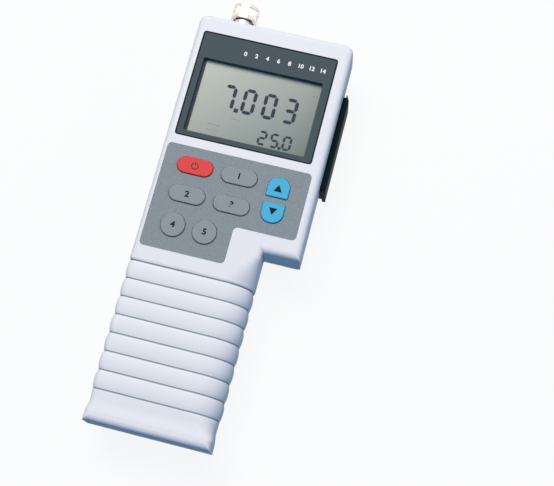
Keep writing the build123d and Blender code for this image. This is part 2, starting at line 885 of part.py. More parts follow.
# Processor in a square package, with leads on four sides
with BuildPart() as processor_chip:
    with BuildSketch(Plane.XY.offset(board_bottom_z)):
        with Locations(processor_at):
            Rectangle(processor_size, processor_size)
    extrude(amount=-processor_thickness)
    with BuildSketch(Plane.XY.offset(board_bottom_z)):
        with Locations(processor_at):
            with GridLocations(lead_pitch, 0, lead_count, 1):
                Rectangle(lead_width, processor_size + 2 * lead_reach)
            with GridLocations(0, lead_pitch, 1, lead_count):
                Rectangle(processor_size + 2 * lead_reach, lead_width)
    extrude(amount=-lead_width)
processor_chip.part.label = "processor_chip"
export_step(processor_chip.part, "parts/processor_chip.step")

# Converter that reads the electrode, beside the connector and under its shield
with BuildPart() as converter_chip:
    with BuildSketch(Plane.XY.offset(board_bottom_z)):
        with Locations(converter_at):
            Rectangle(chip_length, chip_width)
    extrude(amount=-chip_thickness)
    with BuildSketch(Plane.XY.offset(board_bottom_z)):
        with Locations(converter_at):
            with GridLocations(lead_pitch, 0, converter_lead_count, 1):
                Rectangle(lead_width, chip_width + 2 * lead_reach)
    extrude(amount=-lead_width)
converter_chip.part.label = "converter_chip"
export_step(converter_chip.part, "parts/converter_chip.step")

with BuildPart() as input_shield:
    with BuildSketch(Plane.XY.offset(board_bottom_z)):
        with Locations(converter_at):
            Rectangle(shield_length, shield_width)
    extrude(amount=-shield_height)
    board_side = input_shield.faces().sort_by(Axis.Z)[-1]
    offset(amount=-shield_sheet, openings=board_side)
input_shield.part.label = "input_shield"
export_step(input_shield.part, "parts/input_shield.step")

with BuildPart() as crystal:
    with BuildSketch(Plane.XY.offset(board_bottom_z)):
        with Locations(crystal_at):
            SlotOverall(crystal_length, crystal_width)
    extrude(amount=-crystal_height)
    fillet(crystal.faces().sort_by(Axis.Z)[0].edges(), key_edge_radius)
crystal.part.label = "crystal"
export_step(crystal.part, "parts/crystal.step")

with BuildPart() as capacitors:
    extrude(discs(board_bottom_z, capacitors_at, capacitor_radius), amount=-capacitor_height)
capacitors.part.label = "capacitors"
export_step(capacitors.part, "parts/capacitors.step")

# Grey keypad panel, with an opening for each key
with BuildPart() as keypad_panel:
    extrude(keypad_plan(keypad_floor_z, 0), amount=keypad_thickness)
    for key_name in keys:
        extrude(key_plan(key_name, keypad_floor_z, key_clearance), amount=keypad_thickness, mode=Mode.SUBTRACT)
keypad_panel.part.label = "keypad_panel"
export_step(keypad_panel.part, "parts/keypad_panel.step")

# Keys: a rounded cap that stands through the panel, a flange that stops it from behind, and a plunger
for key_name, (form, key_x, key_y) in keys.items():
    with BuildPart() as key:
        extrude(key_plan(key_name, key_flange_z, 0), amount=key_top_z - key_flange_z)
        fillet(key.faces().sort_by(Axis.Z)[-1].edges(), key_edge_radius)
        extrude(key_plan(key_name, key_flange_z, key_flange), amount=key_flange_thickness)
        extrude(discs(plunger_z, [(key_x, key_y)], plunger_radius), amount=key_flange_z - plunger_z)
    key.part.label = key_name
    export_step(key.part, f"parts/{key_name}.step")

# Snap domes on the board, one under each key
with BuildPart() as snap_domes:
    extrude(discs(board_top_z, [(x, y) for form, x, y in keys.values()], dome_radius), amount=dome_height)
    chamfer(snap_domes.edges().group_by(Axis.Z)[-1], dome_height * 0.7, 1.4)
snap_domes.part.label = "snap_domes"
export_step(snap_domes.part, "parts/snap_domes.step")

# Electrode connector: its turned body, with a flange inside the case and two bayonet studs outside
with BuildPart() as bnc_jack:
    revolve(
        turned(
            (insulator_radius, -wall - inner_flange_thickness - tail_length),
            (barrel_radius, -wall - inner_flange_thickness - tail_length),
            (barrel_radius, -wall - inner_flange_thickness),
            (inner_flange_radius, -wall - inner_flange_thickness),
            (inner_flange_radius, -wall),
            (barrel_radius, -wall),
            (barrel_radius, barrel_length),
            (barrel_bore, barrel_length),
            (barrel_bore, barrel_length - barrel_bore_depth),
            (insulator_radius, barrel_length - barrel_bore_depth),
        ),
        axis=connector_axis,
    )
    with BuildSketch(Plane(origin=(connector_x, stud_y, parting_z), x_dir=(0, 1, 0), z_dir=(1, 0, 0))) as studs:
        Circle(stud_radius)
    extrude(amount=stud_reach, both=True)
    with BuildSketch(connector_plane.offset(barrel_length - barrel_bore_depth)):
        Circle(barrel_bore)
    extrude(amount=barrel_bore_depth, mode=Mode.SUBTRACT)
bnc_jack.part.label = "bnc_jack"
export_step(bnc_jack.part, "parts/bnc_jack.step")

with BuildPart() as bnc_insulator:
    revolve(
        turned(
            (contact_radius + thread_fit, -wall - inner_flange_thickness - tail_length),
            (insulator_radius - thread_fit, -wall - inner_flange_thickness - tail_length),
            (insulator_radius - thread_fit, barrel_length - barrel_bore_depth + insulator_length),
            (contact_radius + thread_fit, barrel_length - barrel_bore_depth + insulator_length),
        ),
        axis=connector_axis,
    )
bnc_insulator.part.label = "bnc_insulator"
export_step(bnc_insulator.part, "parts/bnc_insulator.step")

# Hollow contact in the middle of the connector, and the wire that joins it to the board
with BuildPart() as bnc_contact:
    revolve(
        turned(
            (0, -wall - inner_flange_thickness - tail_length - contact_tail),
            (contact_radius, -wall - inner_flange_thickness - tail_length - contact_tail),
            (contact_radius, contact_tip),
            (contact_bore, contact_tip),
            (contact_bore, contact_tip - contact_bore_depth),
            (0, contact_tip - contact_bore_depth),
        ),
        axis=connector_axis,
    )
bnc_contact.part.label = "bnc_contact"
export_step(bnc_contact.part, "parts/bnc_contact.step")

with BuildPart() as input_lead:
    with BuildSketch(Plane.XY.offset(parting_z + contact_radius)):
        with Locations((connector_x, contact_tail_y)):
            Circle(input_wire_radius)
    extrude(amount=board_bottom_z - parting_z - contact_radius)
input_lead.part.label = "input_lead"
export_step(input_lead.part, "parts/input_lead.step")

with BuildPart() as bnc_washer:
    with BuildSketch(connector_plane):
        Circle(washer_radius)
        Circle(barrel_radius + fit, mode=Mode.SUBTRACT)
    extrude(amount=washer_thickness)
bnc_washer.part.label = "bnc_washer"
export_step(bnc_washer.part, "parts/bnc_washer.step")

with BuildPart() as bnc_nut:
    with BuildSketch(connector_plane.offset(washer_thickness)):
        RegularPolygon(nut_across_flats / 2, 6, major_radius=False)
        Circle(barrel_radius + thread_fit, mode=Mode.SUBTRACT)
    extrude(amount=nut_thickness)
bnc_nut.part.label = "bnc_nut"
export_step(bnc_nut.part, "parts/bnc_nut.step")

# Shorting cap: a plug with a pin, and a bayonet collar that turns on its neck
with BuildPart() as cap_plug:
    revolve(
        turned(
            (0, cap_pin_tip),
            (contact_bore - running_fit, cap_pin_tip),
            (contact_bore - running_fit, cap_flange_bottom),
            (cap_sleeve_radius - cap_sleeve_wall, cap_flange_bottom),
            (cap_sleeve_radius - cap_sleeve_wall, barrel_length - cap_sleeve_depth),
            (cap_sleeve_radius, barrel_length - cap_sleeve_depth),
            (cap_sleeve_radius, cap_flange_bottom),
            (cap_flange_radius, cap_flange_bottom),
            (cap_flange_radius, cap_flange_top),
            (cap_neck_radius, cap_flange_top),
            (cap_neck_radius, cap_button_bottom),
            (cap_button_radius, cap_button_bottom),
            (cap_button_radius, cap_button_top - cap_button_edge),
            (cap_button_radius - cap_button_edge, cap_button_top),
            (0, cap_button_top),
        ),
        axis=connector_axis,
    )
cap_plug.part.label = "cap_plug"
export_step(cap_plug.part, "parts/cap_plug.step")

with BuildPart() as cap_collar:
    revolve(
        turned(
            (collar_radius - collar_wall, collar_start),
            (collar_radius, collar_start),
            (collar_radius, collar_start + collar_rim),
            (collar_radius - collar_waist, collar_start + collar_rim + collar_waist),
            (collar_radius - collar_waist, collar_end - collar_rim - collar_waist),
            (collar_radius, collar_end - collar_rim),
            (collar_radius, collar_end),
            (cap_neck_radius + running_fit, collar_end),
            (cap_neck_radius + running_fit, collar_end - collar_end_wall),
            (collar_radius - collar_wall, collar_end - collar_end_wall),
        ),
        axis=connector_axis,
    )
cap_collar.part.label = "cap_collar"
export_step(cap_collar.part, "parts/cap_collar.step")

# Sockets behind the side bay: a square body, a nose through the bay's floor, and the bore with its pins
with BuildPart() as temperature_socket:
    extrude(socket_body(probe_place), amount=-socket_body_depth)
    extrude(socket_disc(bay_floor_x - bay_floor, probe_place, probe_socket_radius), amount=bay_floor)
    extrude(socket_disc(bay_floor_x, probe_place, probe_bore), amount=-socket_bore_depth, mode=Mode.SUBTRACT)
    with BuildSketch(socket_plane(bay_floor_x - socket_bore_depth, probe_place)) as probe_pins:
        with PolarLocations(probe_pin_circle, 3):
            Circle(probe_pin)
    extrude(amount=socket_pin_length)
temperature_socket.part.label = "temperature_socket"
export_step(temperature_socket.part, "parts/temperature_socket.step")

with BuildPart() as data_socket:
    extrude(socket_body(data_place), amount=-socket_body_depth)
    extrude(socket_disc(bay_floor_x - bay_floor, data_place, data_socket_radius), amount=bay_floor)
    extrude(socket_disc(bay_floor_x, data_place, data_bore), amount=-socket_bore_depth, mode=Mode.SUBTRACT)
data_socket.part.label = "data_socket"
export_step(data_socket.part, "parts/data_socket.step")

with BuildPart() as power_jack:
    extrude(socket_body(power_place), amount=-socket_body_depth)
    extrude(socket_disc(bay_floor_x - bay_floor, power_place, power_socket_radius), amount=bay_floor)
    extrude(socket_disc(bay_floor_x, power_place, power_bore), amount=-socket_bore_depth, mode=Mode.SUBTRACT)
    extrude(socket_disc(bay_floor_x - socket_bore_depth, power_place, power_pin), amount=socket_pin_length)
power_jack.part.label = "power_jack"
export_step(power_jack.part, "parts/power_jack.step")

# Soft cover over the sockets, with a plug for each bore and a bevel at its upper end
with BuildPart() as port_cover:
    with BuildSketch(bay_plane.offset(cover_plate_x - bay_floor_x)):
        Rectangle(cover_length, cover_width)
    extrude(amount=cover_plate)
    upper_edge = port_cover.faces().sort_by(Axis.X)[-1].edges().sort_by(Axis.Y)[-1]
    end_face = port_cover.faces().sort_by(Axis.Y)[-1]
    chamfer(upper_edge, cover_bevel, cover_bevel_length, reference=end_face)
    with BuildSketch(bay_plane.offset(slide_fit)):
        RectangleRounded(cover_length - 2 * cover_step, cover_width - 2 * cover_step, cover_base_radius)
    extrude(amount=cover_plate_x - bay_floor_x - slide_fit)
    for bore, place in socket_bores:
        extrude(socket_disc(bay_floor_x + slide_fit, place, bore - slide_fit), amount=-plug_depth)
port_cover.part.label = "port_cover"
export_step(port_cover.part, "parts/port_cover.step")

# Battery, with one stud and one cup on its upper end
with BuildPart() as battery:
    with BuildSketch(Plane.XZ.offset(-battery_end_y)):
        with Locations((grip_centre, battery_centre_z)):
            RectangleRounded(battery_width, battery_depth, battery_radius)
    extrude(amount=battery_length)
    with BuildSketch(Plane.XZ.offset(-battery_end_y)):
        with Locations((grip_centre - terminal_spacing / 2, battery_centre_z)):
            Circle(terminal_radius)
        with Locations((grip_centre + terminal_spacing / 2, battery_centre_z)):
            Circle(terminal_cup_radius)
            Circle(terminal_radius + fit, mode=Mode.SUBTRACT)
    extrude(amount=-terminal_length)
battery.part.label = "battery"
export_step(battery.part, "parts/battery.step")

with BuildPart() as battery_snap:
    with BuildSketch(Plane.XZ.offset(-snap_y)):
        with Locations((grip_centre, battery_centre_z)):
            RectangleRounded(snap_width, snap_height, battery_radius)
    extrude(amount=-snap_thickness)
    with BuildSketch(Plane.XZ.offset(-snap_y)):
        with Locations((grip_centre + terminal_spacing / 2, battery_centre_z)):
            Circle(terminal_radius)
        with Locations((grip_centre - terminal_spacing / 2, battery_centre_z)):
            Circle(terminal_cup_radius)
            Circle(terminal_radius + fit, mode=Mode.SUBTRACT)
    extrude(amount=terminal_length)
battery_snap.part.label = "battery_snap"
export_step(battery_snap.part, "parts/battery_snap.step")

# Two wires from the battery snap up to the board
with BuildPart() as battery_leads:
    for side in (-1, 1):
        lead_x = grip_centre + side * lead_spacing / 2
        with BuildLine() as route:
            FilletPolyline(
                (lead_x, snap_y + snap_thickness, lead_exit_z),
                (lead_x, lead_rise_y, lead_exit_z),
                (lead_x, lead_rise_y, board_bottom_z),
                radius=lead_bend,
            )
        with BuildSketch(Plane(origin=route.line @ 0, z_dir=route.line % 0)):
            Circle(lead_radius)
        sweep(path=route.line)
battery_leads.part.label = "battery_leads"
export_step(battery_leads.part, "parts/battery_leads.step")

# Battery door in the back, with its two countersunk screws
with BuildPart() as battery_door:
    extrude(rounded_plate(door_above_floor, door_centre, door_width, door_length, door_radius),
            amount=door_thickness)
    with Locations(*[Plane(origin=(x, y, door_above_floor), x_dir=(1, 0, 0), z_dir=(0, 0, -1))
                     for x, y in door_screws_at]):
        CounterSinkHole(door_screw_radius + thread_fit, door_screw_head_radius + thread_fit)
battery_door.part.label = "battery_door"
export_step(battery_door.part, "parts/battery_door.step")

with BuildPart() as door_screws:
    for x, y in door_screws_at:
        with BuildSketch(Plane(origin=(x, y, door_above_floor), x_dir=(1, 0, 0), z_dir=(0, -1, 0))) as screw:
            with BuildLine():
                Polyline(
                    (0, 0),
                    (door_screw_head_radius, 0),
                    (door_screw_radius, door_screw_head_radius - door_screw_radius),
                    (door_screw_radius, door_screw_length),
                    (0, door_screw_length),
                    close=True,
                )
            make_face()
        revolve(axis=Axis((x, y, 0), (0, 0, 1)))
door_screws.part.label = "door_screws"
export_step(door_screws.part, "parts/door_screws.step")

# Screws that hold the two halves together, from the back
with BuildPart() as case_screws:
    extrude(discs(screw_recess, case_screws_at, screw_head_radius), amount=-screw_head_height)
    extrude(discs(screw_recess, case_screws_at, screw_radius), amount=screw_length)
case_screws.part.label = "case_screws"
export_step(case_screws.part, "parts/case_screws.step")

# Screws that hold the board to the front half
with BuildPart() as board_screws:
    extrude(discs(board_bottom_z, board_screws_at, board_screw_head_radius), amount=-board_screw_head_height)
    extrude(discs(board_bottom_z, board_screws_at, board_screw_radius), amount=board_screw_length)
board_screws.part.label = "board_screws"
export_step(board_screws.part, "parts/board_screws.step")
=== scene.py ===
# %% [markdown]
# # A hand-held ion meter
#
# The meter lies on its back: X runs across its face, Y up to its connector, Z out of the face. Its pieces come
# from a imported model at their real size. This lesson gives each of them its finish, and adds what is too fine
# for that model: the digits of the display, the signs on the keys and the knurl of the collar.

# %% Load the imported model
import json
from math import cos, pi, radians, sin

import bmesh
import bpy
from mathutils import Matrix, Vector


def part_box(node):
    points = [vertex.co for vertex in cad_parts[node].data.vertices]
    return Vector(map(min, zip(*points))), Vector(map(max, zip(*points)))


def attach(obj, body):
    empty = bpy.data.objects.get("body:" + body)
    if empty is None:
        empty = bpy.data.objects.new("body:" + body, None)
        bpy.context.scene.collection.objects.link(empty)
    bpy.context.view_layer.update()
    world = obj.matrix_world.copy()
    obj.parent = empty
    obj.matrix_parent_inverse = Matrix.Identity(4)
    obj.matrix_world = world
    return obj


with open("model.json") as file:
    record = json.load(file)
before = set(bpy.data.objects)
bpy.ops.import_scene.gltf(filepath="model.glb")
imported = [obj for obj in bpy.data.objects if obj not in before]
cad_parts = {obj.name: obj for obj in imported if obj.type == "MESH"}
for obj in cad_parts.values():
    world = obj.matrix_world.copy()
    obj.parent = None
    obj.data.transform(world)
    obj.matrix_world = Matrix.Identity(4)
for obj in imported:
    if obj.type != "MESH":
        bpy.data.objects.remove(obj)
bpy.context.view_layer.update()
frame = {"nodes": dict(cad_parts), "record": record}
nodes = frame["nodes"]
mm = 0.001

# %% [markdown]
# ## The camera
#
# The photograph was taken from above the face, a little to the right and from below, with a long lens. A camera
# can be placed by eye or by its own axes. Here its place and its three axes are known from the outlines of the
# case and the display, so they go straight into its matrix.

# %% Camera
camera_data = bpy.data.cameras.new("photograph_view")
camera_data.lens = 77.98
camera_data.sensor_width = 36
camera_place = Vector((0.08728, -0.15472, 0.62084))
camera = bpy.data.objects.new("photograph_view", camera_data)
bpy.context.scene.collection.objects.link(camera)
camera_right = Vector((0.96822277, 0.24799722, -0.03228073))
camera_up = Vector((-0.23083276, 0.93586329, 0.26622575))
camera_back = Vector((0.09623359, -0.25031438, 0.96337003))
camera_turn = Matrix((camera_right, camera_up, camera_back)).transposed()
camera.matrix_world = Matrix.LocRotScale(camera_place, camera_turn, None)
bpy.context.scene.camera = camera
print("camera stands", round(camera.location.length, 3), "m from the meter's middle")

# %% [markdown]
# ## The floor
#
# The meter lies on a white sheet that runs out of the picture. A plane with a matt white finish would turn grey
# where no lamp is near, so what the camera sees of it, directly, in a polished face or through a clear one, is
# mixed with plain white. The light that the sheet throws back under the meter is kept low and blue, because the
# walls that face away from the lamps are deep blue in the photograph.


# %% Floor
def seen_directly(tree):
    """A factor that is 1 on rays from the camera, off a polished face or through a clear one"""
    rays = tree.nodes.new("ShaderNodeLightPath")
    factor = rays.outputs["Is Camera Ray"]
    for kind in ("Is Glossy Ray", "Is Transmission Ray"):
        either = tree.nodes.new("ShaderNodeMath")
        either.operation = "MAXIMUM"
        tree.links.new(factor, either.inputs[0])
        tree.links.new(rays.outputs[kind], either.inputs[1])
        factor = either.outputs[0]
    return factor


floor_half_width = 3.0
floor_mesh = bpy.data.meshes.new("floor")
floor_form = bmesh.new()
bmesh.ops.create_grid(floor_form, x_segments=1, y_segments=1, size=floor_half_width)
floor_form.to_mesh(floor_mesh)
floor_form.free()
floor = bpy.data.objects.new("floor", floor_mesh)
bpy.context.scene.collection.objects.link(floor)
print("floor:", 2 * floor_half_width, "m wide")

# %% Finish of the floor
sheet_white = (0.80, 0.85, 0.92, 1)
bounce_blue = (0.03, 0.10, 0.17, 1)
seen_share = 0.90
floor_finish = bpy.data.materials.new("white_sheet")
floor_finish.use_nodes = True
floor_tree = floor_finish.node_tree
floor_shader = floor_tree.nodes["Principled BSDF"]
floor_shader.inputs["Roughness"].default_value = 0.9
thrown_back = floor_tree.nodes.new("ShaderNodeMix")
thrown_back.data_type = "RGBA"
thrown_back.inputs["A"].default_value = sheet_white
thrown_back.inputs["B"].default_value = bounce_blue
floor_rays = floor_tree.nodes.new("ShaderNodeLightPath")
floor_tree.links.new(floor_rays.outputs["Is Diffuse Ray"], thrown_back.inputs["Factor"])
floor_tree.links.new(thrown_back.outputs["Result"], floor_shader.inputs["Base Color"])
plain_white = floor_tree.nodes.new("ShaderNodeEmission")
plain_white.inputs["Strength"].default_value = 1.0
whiter = floor_tree.nodes.new("ShaderNodeMath")
whiter.operation = "MULTIPLY"
whiter.inputs[1].default_value = seen_share
sheet_mix = floor_tree.nodes.new("ShaderNodeMixShader")
floor_tree.links.new(seen_directly(floor_tree), whiter.inputs[0])
floor_tree.links.new(whiter.outputs[0], sheet_mix.inputs["Fac"])
floor_tree.links.new(floor_shader.outputs["BSDF"], sheet_mix.inputs[1])
floor_tree.links.new(plain_white.outputs["Emission"], sheet_mix.inputs[2])
floor_tree.links.new(sheet_mix.outputs["Shader"], floor_tree.nodes["Material Output"].inputs["Surface"])
floor.data.materials.append(floor_finish)
print("floor finish:", floor_finish.name, "with", len(floor_tree.nodes), "nodes")

# %% [markdown]
# ## The light
#
# The face is bright and nearly even, the right side falls softly into a pale blue, and the walls that face the
# lower end are deep blue. Small lamps would give hard shadows and sharp glints. So the lamps are large soft
# panels overhead and beyond the connector, one weaker panel lights the right side, and what no lamp reaches gets
# only a blue sky.


# %% Lamps
def soft_panel(name, place, size, power, colour):
    """A square area lamp that faces the meter's middle"""
    lamp_data = bpy.data.lights.new(name, "AREA")
    lamp_data.size = size
    lamp_data.energy = power
    lamp_data.color = colour
    lamp = bpy.data.objects.new(name, lamp_data)
    lamp.location = place
    lamp.rotation_euler = Vector(place).to_track_quat("Z", "Y").to_euler()
    bpy.context.scene.collection.objects.link(lamp)
    print(name, "lamp:", power, "W")


lamp_tint = (1.0, 0.89, 0.76)
side_tint = (1.0, 0.95, 0.90)
soft_panel("main_panel", (-0.55, 0.75, 1.5), size=0.9, power=20, colour=lamp_tint)
soft_panel("top_panel", (0.15, 0.60, 1.9), size=0.8, power=12, colour=lamp_tint)
soft_panel("side_panel", (1.30, 0.25, 0.75), size=0.5, power=2.5, colour=side_tint)

# %% Sky
sky_blue = (0.14, 0.50, 1.0, 1)
sky_strength = 0.28
sky = bpy.data.worlds.new("studio")
bpy.context.scene.world = sky
sky.use_nodes = True
sky_tree = sky.node_tree
sky_light = sky_tree.nodes["Background"]
sky_light.inputs["Color"].default_value = sky_blue
sky_light.inputs["Strength"].default_value = sky_strength
sky_seen = sky_tree.nodes.new("ShaderNodeBackground")
sky_seen.inputs["Color"].default_value = (1, 1, 1, 1)
sky_seen.inputs["Strength"].default_value = 1.0
sky_mix = sky_tree.nodes.new("ShaderNodeMixShader")
sky_tree.links.new(seen_directly(sky_tree), sky_mix.inputs["Fac"])
sky_tree.links.new(sky_light.outputs["Background"], sky_mix.inputs[1])
sky_tree.links.new(sky_seen.outputs["Background"], sky_mix.inputs[2])
sky_tree.links.new(sky_mix.outputs["Shader"], sky_tree.nodes["World Output"].inputs["Surface"])
bpy.context.scene.view_settings.view_transform = "Standard"
print("sky strength:", sky_strength)

# %% [markdown]
# ## Finishes
#
# Moulded plastic is never one flat colour: its surface is eroded to a fine grain, and its tone drifts a little.
# A photograph of plastic could be wrapped round each piece, but a procedural pattern on Object coordinates has
# no seams and keeps its scale in millimetres. One helper makes the grain, and each finish sets its own numbers:
# colour, roughness, size of the grain and depth of its relief.


# %% A grained surface
drift_mm = 18
speckle_low = 0.35
speckle_high = 0.65


def grained(name, colour, roughness, grain_mm, relief_mm, speck=0.0, drift=0.02, gloss=0.5):
    """A plain finish with a fine relief of one grain size, a speckle as strong as speck, and a slow drift"""
    finish = bpy.data.materials.new(name)
    finish.use_nodes = True
    tree = finish.node_tree
    shader = tree.nodes["Principled BSDF"]
    shader.inputs["Roughness"].default_value = roughness
    shader.inputs["Specular IOR Level"].default_value = gloss
    place = tree.nodes.new("ShaderNodeTexCoord")
    grain = tree.nodes.new("ShaderNodeTexNoise")
    grain.inputs["Scale"].default_value = 1 / (grain_mm * mm)
    grain.inputs["Detail"].default_value = 3
    tree.links.new(place.outputs["Object"], grain.inputs["Vector"])
    relief = tree.nodes.new("ShaderNodeBump")
    relief.inputs["Strength"].default_value = 1.0
    relief.inputs["Distance"].default_value = relief_mm * mm
    tree.links.new(grain.outputs["Fac"], relief.inputs["Height"])
    tree.links.new(relief.outputs["Normal"], shader.inputs["Normal"])
    slow = tree.nodes.new("ShaderNodeTexNoise")
    slow.inputs["Scale"].default_value = 1 / (drift_mm * mm)
    tree.links.new(place.outputs["Object"], slow.inputs["Vector"])
    tone = tree.nodes.new("ShaderNodeMix")
    tone.data_type = "RGBA"
    tone.inputs["A"].default_value = [c * (1 - drift) for c in colour] + [1]
    tone.inputs["B"].default_value = [min(c * (1 + drift), 1) for c in colour] + [1]
    tree.links.new(slow.outputs["Fac"], tone.inputs["Factor"])
    speckle = tree.nodes.new("ShaderNodeMix")
    speckle.data_type = "RGBA"
    speckle.blend_type = "MULTIPLY"
    speckle.inputs["Factor"].default_value = speck
    spread = tree.nodes.new("ShaderNodeMapRange")
    spread.inputs["From Min"].default_value = speckle_low
    spread.inputs["From Max"].default_value = speckle_high
    tree.links.new(grain.outputs["Fac"], spread.inputs["Value"])
    tree.links.new(tone.outputs["Result"], speckle.inputs["A"])
    tree.links.new(spread.outputs["Result"], speckle.inputs["B"])
    tree.links.new(speckle.outputs["Result"], shader.inputs["Base Color"])
    return finish


# %% Plastics and rubbers
case_white = grained("case_white", (0.86, 0.88, 0.94), 0.50, 0.35, 0.010, drift=0.01, gloss=0.03)
bezel_slate = grained("bezel_slate", (0.050, 0.080, 0.102), 0.40, 0.25, 0.004, speck=0.1, gloss=0.08)
keypad_grey = grained("keypad_grey", (0.308, 0.358, 0.395), 0.60, 0.45, 0.02, speck=0.30, gloss=0.1)
key_grey = grained("key_grey", (0.317, 0.369, 0.407), 0.55, 0.45, 0.01, speck=0.22, gloss=0.1)
key_red = grained("key_red", (0.80, 0.072, 0.075), 0.50, 0.4, 0.006, speck=0.06, gloss=0.1)
key_blue = grained("key_blue", (0.076, 0.486, 0.756), 0.50, 0.4, 0.006, speck=0.06, gloss=0.1)
cover_black = grained("cover_black", (0.0025, 0.014, 0.020), 0.55, 0.4, 0.01, gloss=0.04)
black_plastic = grained("black_plastic", (0.02, 0.02, 0.022), 0.45, 0.3, 0.01)
grey_rubber = grained("grey_rubber", (0.25, 0.25, 0.25), 0.8, 0.3, 0.02)
insulator_white = grained("insulator_white", (0.85, 0.85, 0.80), 0.5, 0.4, 0.01)
board_green = grained("board_green", (0.02, 0.16, 0.06), 0.35, 1.2, 0.02, speck=0.25)
battery_jacket = grained("battery_jacket", (0.05, 0.05, 0.07), 0.3, 0.4, 0.004)
print("plastics and rubbers:", len(bpy.data.materials) - 1)

# %% [markdown]
# ## Metals
#
# The connector and the screws are plated. A metal's colour is in its reflections, so the same grained surface
# serves, turned metallic, and its slow drift reads as wear of the polish.


# %% Plated metals
def plated(name, colour, roughness, grain_mm):
    """A metal with a fine grain and a slow change of tone"""
    finish = grained(name, colour, roughness, grain_mm, 0.004, drift=0.04)
    shader = finish.node_tree.nodes["Principled BSDF"]
    shader.inputs["Metallic"].default_value = 1.0
    return finish


nickel = plated("nickel", (0.80, 0.74, 0.72), 0.22, 0.3)
steel = plated("steel", (0.58, 0.58, 0.60), 0.30, 0.4)
brass = plated("brass", (0.80, 0.60, 0.28), 0.25, 0.3)
copper = plated("copper", (0.75, 0.42, 0.28), 0.35, 0.3)
print("finishes:", len(bpy.data.materials))

# %% [markdown]
# ## Painted shade in the grooves
#
# Each groove between two ribs of the grip holds a thin dark line of shade. A second piece in every groove could
# show it, but the line has no thickness of its own. So the shade is painted into the case's colour: the place
# along
# Y tells how far the nearest groove is, and close to a groove the colour goes over to a darker painted shade.


# %% Painted shade in the grooves
def line_grooves(finish, last_y, first_y, count, line_mm, shade):
    """Paint a thin dark line of shade into the colour along each of the grip's grooves"""
    tree = finish.node_tree
    shader = tree.nodes["Principled BSDF"]
    plain = shader.inputs["Base Color"].links[0].from_socket
    place = tree.nodes.new("ShaderNodeTexCoord")
    axes = tree.nodes.new("ShaderNodeSeparateXYZ")
    tree.links.new(place.outputs["Object"], axes.inputs["Vector"])
    steps = tree.nodes.new("ShaderNodeMapRange")
    steps.clamp = False
    steps.inputs["From Min"].default_value = last_y * mm
    steps.inputs["From Max"].default_value = first_y * mm
    steps.inputs["To Max"].default_value = count
    tree.links.new(axes.outputs["Y"], steps.inputs["Value"])
    nearest = tree.nodes.new("ShaderNodeMath")
    nearest.operation = "ROUND"
    tree.links.new(steps.outputs["Result"], nearest.inputs[0])
    inside = tree.nodes.new("ShaderNodeClamp")
    inside.inputs["Max"].default_value = count
    tree.links.new(nearest.outputs[0], inside.inputs["Value"])
    away = tree.nodes.new("ShaderNodeMath")
    away.operation = "SUBTRACT"
    tree.links.new(steps.outputs["Result"], away.inputs[0])
    tree.links.new(inside.outputs["Result"], away.inputs[1])
    distance = tree.nodes.new("ShaderNodeMath")
    distance.operation = "ABSOLUTE"
    tree.links.new(away.outputs[0], distance.inputs[0])
    pitch = (first_y - last_y) / count
    full_shade_mm = line_mm / 4
    dark = tree.nodes.new("ShaderNodeMapRange")
    dark.interpolation_type = "SMOOTHSTEP"
    dark.inputs["From Min"].default_value = full_shade_mm / pitch
    dark.inputs["From Max"].default_value = line_mm / pitch
    dark.inputs["To Min"].default_value = 1
    dark.inputs["To Max"].default_value = 0
    tree.links.new(distance.outputs[0], dark.inputs["Value"])
    lined = tree.nodes.new("ShaderNodeMix")
    lined.data_type = "RGBA"
    lined.inputs["B"].default_value = list(shade) + [1]
    tree.links.new(dark.outputs["Result"], lined.inputs["Factor"])
    tree.links.new(plain, lined.inputs["A"])
    tree.links.new(lined.outputs["Result"], shader.inputs["Base Color"])


last_groove_y = -95.67
first_groove_y = -28.4
groove_steps = 7
groove_shade = (0.24, 0.30, 0.35)
# Painted shade: a thin dark line in the case's colour along each groove of the grip
line_grooves(case_white, last_groove_y, first_groove_y, groove_steps, line_mm=0.55, shade=groove_shade)
print("groove lines:", groove_steps + 1)

# %% [markdown]
# ## The display
#
# A reflective display is a stack: a clear window, a polarizing film, the glass cell and a grey-green backing.
# The eye sees the film's grey-green under a reflection that leaves it pale at the upper left and darker towards
# the lower right. Real glass needs many light paths before the film shows through it. The window gets a mostly
# transparent finish instead, so that the lamps reach the film, and a ramp of painted reflection across the film's
# colour carries the change from pale to dark.

# %% Window
lens_clear = bpy.data.materials.new("lens_clear")
lens_clear.use_nodes = True
lens_shader = lens_clear.node_tree.nodes["Principled BSDF"]
lens_shader.inputs["Base Color"].default_value = (0.9, 0.95, 0.95, 1)
lens_shader.inputs["Roughness"].default_value = 0.05
lens_shader.inputs["Alpha"].default_value = 0.02
lens_shader.inputs["Specular IOR Level"].default_value = 0.1
print("window finish:", lens_clear.name)

# %% Film, with a painted reflection
lcd_face = grained("lcd_face", (0.46, 0.52, 0.47), 0.50, 0.25, 0.002, speck=0.03, gloss=0.03)
film_tree = lcd_face.node_tree
film_place = film_tree.nodes.new("ShaderNodeTexCoord")
film_axis = film_tree.nodes.new("ShaderNodeMapping")
film_axis.inputs["Location"].default_value = (0.306, 0.957, 0)
film_axis.inputs["Scale"].default_value = (9.0, -11.0, 1)
film_split = film_tree.nodes.new("ShaderNodeSeparateXYZ")
film_sum = film_tree.nodes.new("ShaderNodeMath")
